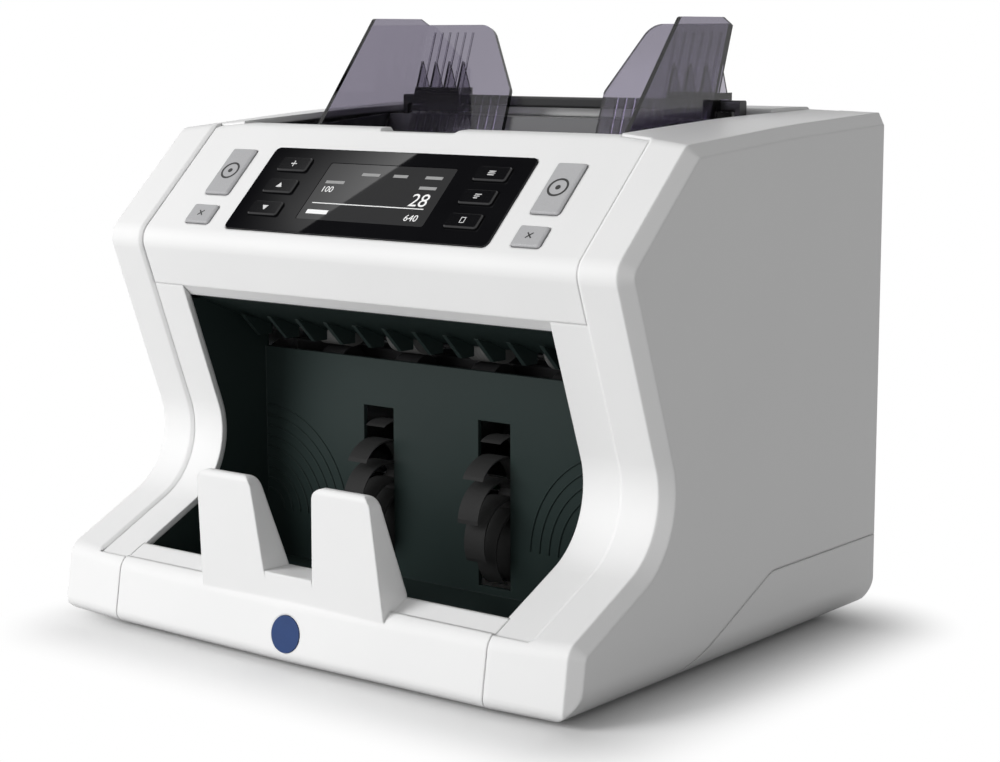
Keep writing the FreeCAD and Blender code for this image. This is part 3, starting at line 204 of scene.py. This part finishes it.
def ribbed(wire):
    place = wire.node("TexCoord", out="Object")
    drift = wire.node("TexNoise", values={"Vector": place, "Scale": 60.0, "Detail": 3.0})
    ridge = wire.node("TexWave", {"bands_direction": "X"}, {"Vector": place, "Scale": 160.0})
    skin = {
        "Base Color": drift.blend((0.13, 0.13, 0.13, 1), (0.20, 0.20, 0.195, 1)),
        "Roughness": drift * 0.1 + 0.66,
        "Normal": wire.node("Bump", values={"Height": ridge, "Strength": 0.5, "Distance": 0.0002}),
    }
    return {"Surface": wire.node("BsdfPrincipled", values=skin)}


rubber_grey = finish("rubber_grey", ribbed)
black_plastic = finish("black_plastic", moulded(
    deep=(0.012, 0.012, 0.013, 1), pale=(0.026, 0.026, 0.027, 1), rough=0.38, grain=1600.0, edge=0.0004))
dress(rubber_grey, "feed_rollers", "pickup_rollers", "transport_rollers")
dress(black_plastic, "pinch_roller")

# Stacker wheels: two soft wheels with curved vanes that lay each sheet down in the pocket.
# Cast urethane, dull and slightly dusty, pushed onto the stacker shaft.
dress(rubber_black, "stacker_wheels")

# Motors, pulleys and belts: one set drives the paper path, the other the stacker wheels.
# Painted steel cans, turned pulleys, and moulded rubber belts with a matt back.
motor_grey = finish("motor_grey", metal(
    deep=(0.20, 0.20, 0.21, 1), pale=(0.30, 0.30, 0.31, 1), rough=0.42, stretch=(1.0, 8.0, 8.0), scale=120.0))
dress(motor_grey, "drive_motor", "stacker_motor")
dress(steel, "drive_motor_pulley", "stacker_motor_pulley")
dress(rubber_black, "drive_belt", "stacker_belt")

# Retard unit, gap knob and bridge: stop rollers that let one sheet through, and the knob for their gap.
# Plated steel bracket on a pivot pin, urethane stop rollers, a black moulded knob on a steel bridge;
# below them the curved black guide that turns each sheet towards the pocket.
dress(zinc_plate, "retard_bracket", "knob_bridge")
dress(rubber_grey, "retard_rollers")
dress(black_plastic, "gap_knob", "sensor_bar", "path_guide")

# Boards and power supply: the control board behind the panel, the main board and the mains supply.
# Green fibreglass with tinned tracks under the lacquer, screwed inside the housing.


def printed(wire):
    place = wire.node("TexCoord", out="Object")
    drift = wire.node("TexNoise", values={"Vector": place, "Scale": 30.0, "Detail": 3.0})
    cell = wire.node("TexVoronoi", {"feature": "DISTANCE_TO_EDGE"}, {"Vector": place, "Scale": 190.0})
    track = wire.math("LESS_THAN", cell, 0.07)
    skin = {
        "Base Color": (track * 0.6 + drift * 0.4).blend((0.006, 0.075, 0.028, 1), (0.05, 0.24, 0.09, 1)),
        "Roughness": drift * 0.12 + 0.3,
        "Normal": wire.node("Bump", values={"Height": track, "Strength": 0.4, "Distance": 0.00004}),
    }
    return {"Surface": wire.node("BsdfPrincipled", values=skin)}


board_green = finish("board_green", printed)
dress(board_green, "control_board", "main_board", "power_supply")

# Stacker chute and exit guide: the dark pocket that each sheet drops into, and its comb roof.
# Black-green ABS with a satin face; shallow arcs stand on the back wall beside the stacker wheels.
chute_dark = finish("chute_dark", moulded(
    deep=(0.013, 0.021, 0.020, 1), pale=(0.022, 0.033, 0.031, 1), rough=0.44, grain=1500.0, edge=0.0005,
    gloss=0.25))
dress(chute_dark, "stacker_chute", "exit_guide")


def settle(name, outline, origin, across, up, body, made):
    """Turns a flat curve or a number into a thin plate standing on a face, and puts it on its body."""
    holder = bpy.data.objects.new(name, outline)
    mesh = bpy.data.meshes.new_from_object(holder)
    bpy.data.objects.remove(holder)
    thin = bpy.data.objects.new(name, mesh)
    bpy.context.scene.collection.objects.link(thin)
    mesh.materials.clear()
    mesh.materials.append(made)
    out = across.cross(up)
    turn = Matrix((across, up, out)).transposed().to_4x4()
    mesh.transform(Matrix.Translation(origin) @ turn)
    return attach(thin, body)


def plate(name, loops, thick, origin, across, up, body, made):
    """A thin plate with the given loops as its outline; a loop inside another is a hole."""
    outline = bpy.data.curves.new(name, "CURVE")
    outline.dimensions = "2D"
    outline.fill_mode = "BOTH"
    outline.extrude = thick / 2
    for loop in loops:
        edge = outline.splines.new("POLY")
        edge.points.add(len(loop) - 1)
        for point, (x, y) in zip(edge.points, loop):
            point.co = (x, y, 0, 1)
        edge.use_cyclic_u = True
    return settle(name, outline, origin, across, up, body, made)


def sweep(x, y, r, start, end, steps):
    """Points along an arc, with its angles in degrees."""
    return [
        (x + r * math.cos(math.radians(start + (end - start) * i / steps)),
         y + r * math.sin(math.radians(start + (end - start) * i / steps)))
        for i in range(steps + 1)
    ]


right = Vector((1, 0, 0))
upright = Vector((0, 0, 1))
arc_wide = 0.0007
arc_high = 0.0005
arc_step = 0.0045
arc_count = 9
arc_first = 0.009
arc_low = 0.034
arc_turn = 88
arc_steps = 24
arc_inset = 0.0025
chute_wall = 0.002
chute_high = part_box("stacker_chute")[1]
arc_side = chute_high.x - arc_inset
arc_origin = Vector((0, chute_high.y - chute_wall - arc_high / 4, 0))
for side, way in (("left", -1), ("right", 1)):
    loops = []
    for i in range(arc_count):
        r = arc_first + i * arc_step
        inner = sweep(way * arc_side, arc_low, r - arc_wide / 2, 90, 90 + way * arc_turn, arc_steps)
        outer = sweep(way * arc_side, arc_low, r + arc_wide / 2, 90, 90 + way * arc_turn, arc_steps)
        loops.append(inner + outer[::-1])
    arcs = plate("chute_arcs_" + side, loops, arc_high, arc_origin, right, upright, "chassis", chute_dark)

# Hopper bed and back plate: the ramp, cheeks and rear wall of the hopper.
# Grey moulded ABS, screwed to the frame plates behind the hopper mouth.
hopper_grey = finish("hopper_grey", moulded(
    deep=(0.10, 0.10, 0.105, 1), pale=(0.15, 0.15, 0.155, 1), rough=0.45, grain=1800.0, edge=0.0004))
dress(hopper_grey, "hopper_bed", "hopper_back_plate")

# Hopper guides and rail: two clear smoke-tinted side guides that slide on a black bar behind the hopper.
# Injection moulded polycarbonate with ribs, gussets and a clip; the rail is a black extrusion.


def smoked(wire):
    place = wire.node("TexCoord", out="Object")
    drift = wire.node("TexNoise", values={"Vector": place, "Scale": 45.0, "Detail": 2.0})
    skin = {
        "Base Color": (0.93, 0.92, 0.95, 1),
        "Roughness": drift * 0.05 + 0.02,
        "IOR": 1.49,
        "Transmission Weight": 1.0,
    }
    tint = {"Color": (0.34, 0.31, 0.40, 1), "Density": 900.0}
    return {
        "Surface": wire.node("BsdfPrincipled", values=skin),
        "Volume": wire.node("VolumeAbsorption", values=tint),
    }


guide_smoke = finish("guide_smoke", smoked)
dress(guide_smoke, "left_guide", "right_guide")
dress(black_plastic, "guide_rail")

# Rear panel, door, inlet, rocker and sockets: the closed back of the machine.
# White textured ABS door hinged on a dark grey panel; black thermoset inlet, rocker and sockets set in it.
dress(cover_white, "rear_door")
dress(hopper_grey, "rear_panel")
dress(black_plastic, "power_inlet", "power_rocker", "data_sockets")

# Side covers: the two big half shells with the raised rim round the front.
# White ABS like the base, snapped to the base pan and screwed from below.
dress(cover_white, "left_side_cover", "right_side_cover")

# Stacker tray and badge: the nose of the machine with its two prongs, and a plain disc on the front.
# White ABS; the disc is a blue lacquered insert glued in a shallow recess.
dress(cover_white, "stacker_tray")


def lacquered(wire):
    place = wire.node("TexCoord", out="Object")
    drift = wire.node("TexNoise", values={"Vector": place, "Scale": 120.0, "Detail": 3.0})
    skin = {
        "Base Color": drift.blend((0.006, 0.030, 0.120, 1), (0.010, 0.044, 0.160, 1)),
        "Roughness": drift * 0.08 + 0.34,
    }
    return {"Surface": wire.node("BsdfPrincipled", values=skin)}


badge_blue = finish("badge_blue", lacquered)
dress(badge_blue, "nose_badge")

# Fascia, bezel and window: the sloped front with its black display frame.
# White ABS fascia; gloss black acrylic frame and a tinted window pressed in flush.
dress(cover_white, "front_fascia")


def glossed(deep, pale, rough):
    """Polished plastic, with hardly any change of tone."""

    def shade(wire):
        place = wire.node("TexCoord", out="Object")
        drift = wire.node("TexNoise", values={"Vector": place, "Scale": 50.0, "Detail": 3.0})
        skin = {
            "Base Color": drift.blend(deep, pale),
            "Roughness": drift * 0.02 + rough,
        }
        return {"Surface": wire.node("BsdfPrincipled", values=skin)}

    return shade


bezel_black = finish("bezel_black", glossed(
    deep=(0.003, 0.003, 0.004, 1), pale=(0.007, 0.007, 0.008, 1), rough=0.005))
window_dark = finish("window_dark", glossed(
    deep=(0.036, 0.036, 0.037, 1), pale=(0.042, 0.042, 0.043, 1), rough=0.005))
dress(bezel_black, "control_bezel")
dress(window_dark, "display_window")

press = next(j for j in frame["joints"] if j["name"] == "start_key_left_press")
panel_out = -Vector(press["axis"])
panel_up = panel_out.cross(right)


def outer_face(name):
    """A piece's face on the panel: its middle, and its half sizes across and up the slope."""
    points = [v.co for v in nodes[name].data.vertices]
    rise = max(p.dot(panel_out) for p in points)
    face = [p for p in points if p.dot(panel_out) > rise - 0.00002]
    xs = [p.x for p in face]
    ups = [p.dot(panel_up) for p in face]
    middle = right * (max(xs) + min(xs)) / 2 + panel_up * (max(ups) + min(ups)) / 2 + panel_out * rise
    return middle, (max(xs) - min(xs)) / 2, (max(ups) - min(ups)) / 2


def glowing_print(colour, glow):
    """Print that glows a little, like the figures of a display with its own light; on the key signs this glow
    is painted light.
    """

    def shade(wire):
        place = wire.node("TexCoord", out="Object")
        drift = wire.node("TexNoise", values={"Vector": place, "Scale": 900.0, "Detail": 1.0})
        tone = drift.blend(tuple(0.9 * c for c in colour) + (1,), colour + (1,))
        skin = {"Base Color": tone, "Roughness": 0.4, "Emission Color": tone, "Emission Strength": glow}
        return {"Surface": wire.node("BsdfPrincipled", values=skin)}

    return shade


def bar(x0, x1, y0, y1):
    return [(x0, y0), (x1, y0), (x1, y1), (x0, y1)]


screen_white = finish("screen_white", glowing_print(colour=(0.80, 0.80, 0.80), glow=0.25))
screen_grey = finish("screen_grey", glowing_print(colour=(0.30, 0.30, 0.30), glow=0.1))
ink_high = 0.00006
ink_sink = 0.00001
figure_share = 0.70
window_middle, window_half, window_tall = outer_face("display_window")


def window_spot(across, up):
    """A place on the window, given as shares of its width from the left and its height from the foot."""
    return (2 * across - 1) * window_half, (2 * up - 1) * window_tall


def print_number(name, text, high, across, up, align):
    figure = bpy.data.curves.new(name, "FONT")
    figure.body = text
    figure.size = high / figure_share
    figure.align_x = align
    figure.extrude = ink_high / 2
    x, y = window_spot(across, up)
    origin = window_middle + right * x + panel_up * y + panel_out * (ink_high / 2 - ink_sink)
    settle(name, figure, origin, right, panel_up, "chassis", screen_white)


def print_bars(name, spans, made):
    loops = []
    for across0, across1, up0, up1 in spans:
        x0, y0 = window_spot(across0, up0)
        x1, y1 = window_spot(across1, up1)
        loops.append(bar(x0, x1, y0, y1))
    origin = window_middle + panel_out * (ink_high / 2 - ink_sink)
    plate(name, loops, ink_high, origin, right, panel_up, "chassis", made)


screen_left = 0.05
screen_right = 0.93
print_number("count_number", "28", high=0.0063, across=screen_right, up=0.33, align="RIGHT")
print_number("total_number", "640", high=0.0031, across=screen_right, up=0.08, align="RIGHT")
print_number("batch_number", "100", high=0.0029, across=screen_left, up=0.49, align="LEFT")
print_bars("screen_line", [(screen_left, screen_right, 0.283, 0.297)], screen_white)
label_bars = [
    (screen_left, 0.20, 0.64, 0.69),
    (0.30, 0.44, 0.80, 0.85),
    (0.55, 0.66, 0.80, 0.85),
    (0.80, screen_right, 0.80, 0.85),
    (0.80, screen_right, 0.62, 0.67),
]
print_bars("screen_bars", label_bars, screen_grey)
print_bars("unit_bar", [(screen_left, 0.22, 0.10, 0.17)], screen_white)

# Keys: two start keys and two clear keys in silver, six black function keys in the frame.
# Moulded caps painted or glossy, each on its own switch; plain printed signs on their faces.


def painted(wire):
    place = wire.node("TexCoord", out="Object")
    drift = wire.node("TexNoise", values={"Vector": place, "Scale": 60.0, "Detail": 3.0})
    flake = wire.node("TexNoise", values={"Vector": place, "Scale": 5000.0, "Detail": 1.0})
    rounded = wire.node("Bevel", {"samples": 4}, {"Radius": 0.0008})
    relief = {"Height": flake, "Strength": 0.3, "Distance": 0.00001, "Normal": rounded}
    skin = {
        "Base Color": flake.blend((0.36, 0.36, 0.37, 1), (0.56, 0.56, 0.57, 1)),
        "Metallic": 0.55,
        "Roughness": drift * 0.08 + 0.34,
        "Normal": wire.node("Bump", values=relief),
    }
    return {"Surface": wire.node("BsdfPrincipled", values=skin)}


key_silver = finish("key_silver", painted)
key_black = finish("key_black", glossed(
    deep=(0.004, 0.004, 0.005, 1), pale=(0.008, 0.008, 0.009, 1), rough=0.05))
sign_black = finish("sign_black", moulded(
    deep=(0.010, 0.010, 0.010, 1), pale=(0.020, 0.020, 0.020, 1), rough=0.5))
# The white signs on the function keys glow a little, though print gives no light: painted light.
sign_white_painted_glow = finish("sign_white_painted_glow", glowing_print(colour=(0.72, 0.72, 0.72), glow=0.05))


def sign(key, loops, made):
    """Prints a sign on the middle of a key's face, so that it moves with the key."""
    origin = outer_face(key)[0] + panel_out * (ink_high / 2 - ink_sink)
    plate(key + "_sign", loops, ink_high, origin, right, panel_up, key + "_cap", made)


def ring(r, corners):
    return sweep(0, 0, r, 0, 360 - 360 / corners, corners - 1)


target_r = 0.0044
target_hole_r = 0.0035
target_dot_r = 0.0011
target = [ring(target_r, 36), ring(target_hole_r, 36), ring(target_dot_r, 24)]
arm = 0.45
tip = 3
slim_plus = [(-arm, -tip), (arm, -tip), (arm, -arm), (tip, -arm), (tip, arm), (arm, arm),
             (arm, tip), (-arm, tip), (-arm, arm), (-tip, arm), (-tip, -arm), (-arm, -arm)]
cross_scale = 0.00042
plus_scale = 0.0005
cross = [((x - y) * cross_scale, (x + y) * cross_scale) for x, y in slim_plus]
plus = [(x * plus_scale, y * plus_scale) for x, y in slim_plus]
arrow = [(-0.0016, -0.0010), (0.0016, -0.0010), (0.0, 0.0014)]
stripe_high = 0.0004
stripe_lows = [-0.0011, -0.0002, 0.0007]
sheets = [bar(-0.0016, 0.0016, low, low + stripe_high) for low in stripe_lows]
bars = [bar(-0.0015, 0.0004 + i * 0.0006, low, low + stripe_high) for i, low in enumerate(stripe_lows)]
page = [bar(-0.0011, 0.0011, -0.0014, 0.0014), bar(-0.0008, 0.0008, -0.0011, 0.0011)]
function_signs = {
    "upper_key_left": [plus],
    "middle_key_left": [arrow],
    "lower_key_left": [[(x, -y) for x, y in arrow]],
    "upper_key_right": sheets,
    "middle_key_right": bars,
    "lower_key_right": page,
}
for side in ("left", "right"):
    dress(key_silver, "start_key_" + side, "clear_key_" + side)
    sign("start_key_" + side, target, sign_black)
    sign("clear_key_" + side, [cross], sign_black)
for key, loops in function_signs.items():
    dress(key_black, key)
    sign(key, loops, sign_white_painted_glow)

# Studio: a pale floor that fades into white, one large soft lamp from the left front, and an even sky.
# Dark and bright cards over the panel give the gloss black frame its reflection.


def seen(wire):
    """One where the eye, a mirror or clear plastic looks at the backdrop, nought where it gives light."""
    camera = wire.node("LightPath", out="Is Camera Ray")
    gloss = wire.node("LightPath", out="Is Glossy Ray")
    through = wire.node("LightPath", out="Is Transmission Ray")
    return wire.math("MINIMUM", camera + gloss + through, 1.0)


sky_level = 0.30
sky_overhead = 0.25
world = bpy.data.worlds.new("studio_sky")
world.use_nodes = True
world.node_tree.nodes.clear()
sky = Wire(world.node_tree)
height = sky.node("SeparateXYZ", values={0: sky.node("TexCoord", out="Generated")}, out="Z")
lighting = sky_level - sky.math("MAXIMUM", height, 0.0) * (sky_level - sky_overhead)
showing = seen(sky)
light_from = showing + (1 - showing) * lighting
backdrop = sky.node("Background", values={"Color": (1, 1, 1, 1), "Strength": light_from})
sky.node("OutputWorld", values={"Surface": backdrop})
bpy.context.scene.world = world

floor_lights = (0.36, 0.36, 0.36, 1)
floor_shows = (0.88, 0.88, 0.88, 1)
far_floor_light = 0.3
shadow_reach = 0.055
shadow_aside = 0.0172
shadow_half_wide = 0.1105
shadow_forward = 0.0125
shadow_half_deep = 0.0875


def pale_floor(wire):
    """A floor that takes the shadow close to the machine and turns plain white further off."""

    def past(offset, half):
        return wire.math("MAXIMUM", wire.math("ABSOLUTE", offset, 0.0) - half, 0.0)

    place = wire.node("TexCoord", out="Object")
    beside = wire.node("SeparateXYZ", values={0: place}, out="X")
    along = wire.node("SeparateXYZ", values={0: place}, out="Y")
    past_side = past(beside - shadow_aside, shadow_half_wide)
    past_front = past(along + shadow_forward, shadow_half_deep)
    far = wire.math("SQRT", past_side * past_side + past_front * past_front, 0.0)
    fade = wire.node("MapRange", {"interpolation_type": "SMOOTHSTEP"}, {0: far, 1: 0.0, 2: shadow_reach})
    eye = wire.node("LightPath", out="Is Camera Ray")
    ground = wire.node("BsdfDiffuse", values={"Color": eye.blend(floor_lights, floor_shows)})
    glow = seen(wire) * (1 - far_floor_light) + far_floor_light
    white = wire.node("Emission", values={"Strength": glow})
    return {"Surface": wire.node("MixShader", values={0: fade, 1: ground, 2: white})}


floor_half = 6.0
floor_mesh = bpy.data.meshes.new("floor")
floor_corners = [(x, y, 0) for x, y in bar(-floor_half, floor_half, -floor_half, floor_half)]
floor_mesh.from_pydata(floor_corners, [], [(0, 1, 2, 3)])
floor_mesh.materials.append(finish("floor_pale", pale_floor))
floor = bpy.data.objects.new("floor", floor_mesh)
bpy.context.scene.collection.objects.link(floor)

aim = Vector((0, 0, 0.10))


def lamp(name, way, away, wide, level):
    """A soft round lamp that lights a white card facing it to the given level."""
    way = Vector(way).normalized()
    data = bpy.data.lights.new(name, "AREA")
    data.shape = "DISK"
    data.size = wide
    data.energy = level * math.pi ** 2 * away ** 2
    made = bpy.data.objects.new(name, data)
    made.location = aim + way * away
    made.rotation_euler = way.to_track_quat("Z", "Y").to_euler()
    made.visible_glossy = False
    bpy.context.scene.collection.objects.link(made)


lamp("key_lamp", way=(-0.50, -0.80, 0.33), away=2.0, wide=1.2, level=0.88)
lamp("fill_lamp", way=(0.62, -0.90, 0.02), away=1.1, wide=0.7, level=0.15)

eye_place = Vector((0.55378, -0.67351, 0.23460))
azimuth = math.radians(38.483)
elevation = math.radians(9.068)
roll = math.radians(-0.16)
ahead = Vector((-math.sin(azimuth) * math.cos(elevation), math.cos(azimuth) * math.cos(elevation),
                -math.sin(elevation)))
level = Vector((math.cos(azimuth), math.sin(azimuth), 0))
rise = level.cross(ahead)
eye_right = math.cos(roll) * level + math.sin(roll) * rise
eye_up = math.cos(roll) * rise - math.sin(roll) * level
camera_data = bpy.data.cameras.new("camera")
camera_data.sensor_fit = "HORIZONTAL"
camera_data.sensor_width = 36.0
camera_data.lens = 78.8
camera_data.clip_end = 50.0
camera = bpy.data.objects.new("camera", camera_data)
eye_turn = Matrix((eye_right, eye_up, -ahead)).transposed().to_4x4()
camera.matrix_world = Matrix.Translation(eye_place) @ eye_turn
bpy.context.scene.collection.objects.link(camera)
bpy.context.scene.camera = camera

sheen_peak = 1.9
sheen_fall = 2.2
sheen_foot = 0.3
card_black = 0.02


def sheen(wire):
    """Light on the bright card, strongest along its edge and at its top."""
    spread = wire.node("TexCoord", out="UV")
    left = wire.node("SeparateXYZ", values={0: spread}, out="X")
    high = wire.node("SeparateXYZ", values={0: spread}, out="Y")
    upward = high * (1 - sheen_foot) + sheen_foot
    strength = wire.math("POWER", 1 - left, sheen_fall) * upward * sheen_peak
    return {"Surface": wire.node("Emission", values={"Strength": strength})}


def unlit(wire):
    return {"Surface": wire.node("Emission", values={"Strength": card_black})}


def card(name, corners, away, shade):
    """A card that only a glossy surface sees, placed where the panel mirrors the given spots."""
    mesh = bpy.data.meshes.new(name)
    points = []
    for across, up in corners:
        x, y = window_spot(across, up)
        spot = window_middle + right * x + panel_up * y
        ray = (spot - eye_place).normalized()
        points.append(spot + (ray - 2 * ray.dot(panel_out) * panel_out) * away)
    mesh.from_pydata(points, [], [(0, 1, 2, 3)])
    spread = mesh.uv_layers.new()
    for loop, at in zip(spread.data, ((0, 0), (0, 1), (1, 1), (1, 0))):
        loop.uv = at
    mesh.materials.append(finish(name, shade))
    made = bpy.data.objects.new(name, mesh)
    made.visible_camera = False
    made.visible_diffuse = False
    made.visible_transmission = False
    made.visible_shadow = False
    bpy.context.scene.collection.objects.link(made)


bright_corners = ((0.10, -0.24), (0.62, 1.24), (-0.6, 1.24), (-0.6, -0.24))
dark_corners = ((1.7, -0.6), (1.7, 1.6), (-0.7, 1.6), (-0.7, -0.6))
card("bright_card", bright_corners, away=0.80, shade=sheen)
card("dark_card", dark_corners, away=0.84, shade=unlit)
